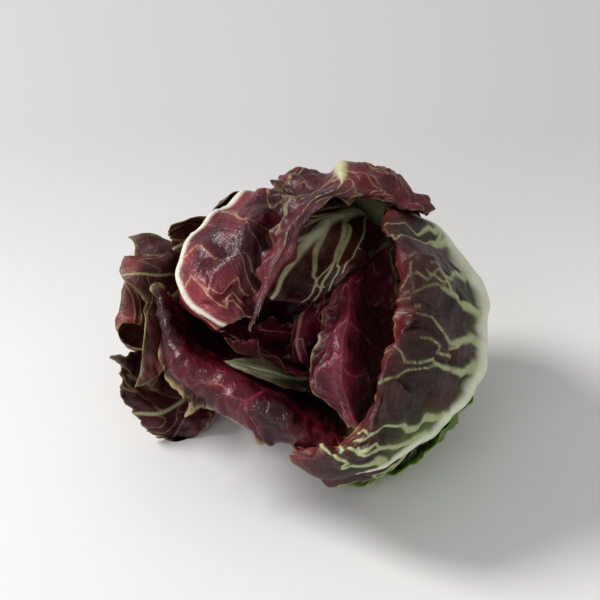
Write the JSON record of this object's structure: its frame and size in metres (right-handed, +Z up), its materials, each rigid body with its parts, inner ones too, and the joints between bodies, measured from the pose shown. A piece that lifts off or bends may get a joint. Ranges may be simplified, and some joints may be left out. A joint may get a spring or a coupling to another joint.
{
  "type": "radicchio head",
  "caption": "Loose, ruffled head of red chicory lying on its side, with pale-ribbed leaves folded round an open mouth and a short cut stump.",
  "frame": {"origin": "on the surface that the head rests on, under the middle of its bounding box", "axes": "+Z up; +X across the mouth, along the longest side; the open mouth faces -Y and the cut stump faces +Y"},
  "size_m": [0.166, 0.1512, 0.1221],
  "materials": {
    "cut_stump": "dry, cut, pale green-white pith with a browned rim",
    "heart_leaf": "fresh leaf, dark crimson, waxy half gloss",
    "pale_leaf": "fresh leaf, pale grey-green, waxy half gloss",
    "inner_leaf": "fresh leaf, crimson with pink and pale veins, glossy",
    "ribbed_leaf": "fresh leaf, crimson with a fan of pale green ribs",
    "cap_leaf": "fresh leaf, crimson-purple with a white midrib, glossy",
    "outer_leaf": "fresh leaf, dull purple with pale veins, half gloss",
    "wrapper_leaf": "fresh leaf, greyish purple with green-white ribs, half gloss",
    "brown_leaf": "fresh leaf, brown-purple with thin green margins, half gloss"
  },
  "bodies": {
    "root": {"stump": "cut_stump", "heart_leaf_right": "heart_leaf", "heart_leaf_front": "heart_leaf", "heart_leaf_left": "heart_leaf", "pale_inner_leaf": "pale_leaf", "inner_right_leaf": "inner_leaf", "inner_back_leaf": "ribbed_leaf", "left_cap_leaf": "cap_leaf", "front_fold_leaf": "inner_leaf", "back_leaf": "outer_leaf", "right_wrapper_leaf": "wrapper_leaf", "hood_leaf": "outer_leaf", "left_ruffle_leaf": "brown_leaf", "left_curl_leaf": "brown_leaf", "left_floor_leaf": "outer_leaf", "under_leaf": "wrapper_leaf"}
  },
  "joints": []
}
